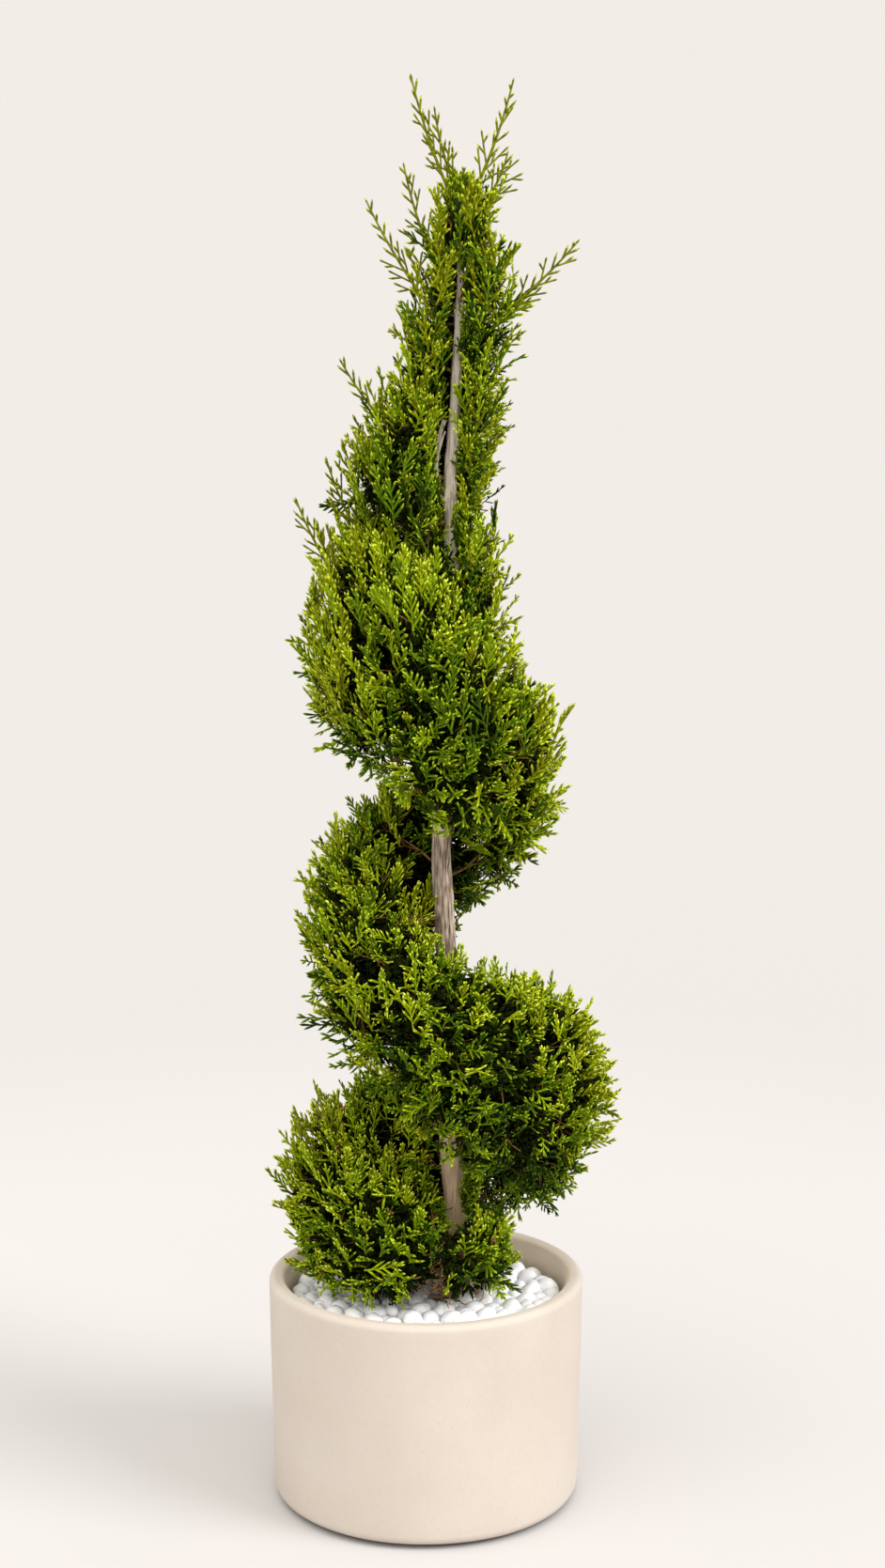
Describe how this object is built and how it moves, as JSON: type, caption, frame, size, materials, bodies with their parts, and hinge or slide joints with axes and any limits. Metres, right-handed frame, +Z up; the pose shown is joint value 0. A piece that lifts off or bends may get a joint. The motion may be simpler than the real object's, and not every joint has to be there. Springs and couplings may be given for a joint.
{
  "type": "spiral topiary in a pot",
  "caption": "Conifer clipped into a rising spiral round a bare straight trunk, with a feathery unclipped top, in a plain round pot topped with pale pebbles.",
  "frame": {"origin": "the middle of the pot's flat underside, on the surface that it stands on", "axes": "+Z up the trunk, +X to the right of the plant's front, -Y out of its front"},
  "size_m": [0.3907, 0.36, 1.5932],
  "materials": {
    "pot": "matte",
    "soil": "matte",
    "pebbles": "satin",
    "bark": "matte",
    "foliage": "matte",
    "shoots": "matte"
  },
  "bodies": {
    "root": {"pot": "pot", "soil": "soil", "pebble_bed": "pebbles", "trunk": "bark", "snag": "bark", "bough_foot_front": "bark", "bough_low_left": "bark", "bough_low_back": "bark", "bough_middle_right": "bark", "bough_middle_front": "bark", "bough_middle_left": "bark", "bough_middle_back": "bark", "bough_high_right": "bark", "bough_high_front": "bark", "bough_high_left": "bark", "bough_cone_back": "bark", "bough_cone_left": "bark", "bough_cone_right": "bark", "bough_crown_left": "bark", "bough_crown_right": "bark", "foliage_foot_front": "foliage", "foliage_low_left": "foliage", "foliage_low_back": "foliage", "foliage_middle_right": "foliage", "foliage_middle_front": "foliage", "foliage_middle_left": "foliage", "foliage_middle_back": "foliage", "foliage_high_right": "foliage", "foliage_high_front": "foliage", "foliage_high_left": "foliage", "foliage_cone_left": "foliage", "foliage_cone_back": "foliage", "foliage_cone_right": "foliage", "foliage_crown_left": "foliage", "foliage_crown_right": "foliage", "foliage_crown_tip": "foliage", "shoot_leader_left": "shoots", "shoot_leader_middle": "shoots", "shoot_leader_right": "shoots", "shoot_crown_right": "shoots", "shoot_crown_left": "shoots", "shoot_cone_right": "shoots", "shoot_cone_left": "shoots", "shoot_shoulder_left": "shoots", "shoot_high_left_inner": "shoots", "shoot_high_left_outer": "shoots", "shoot_low_left": "shoots", "shoot_low_left_outer": "shoots"}
  },
  "joints": []
}
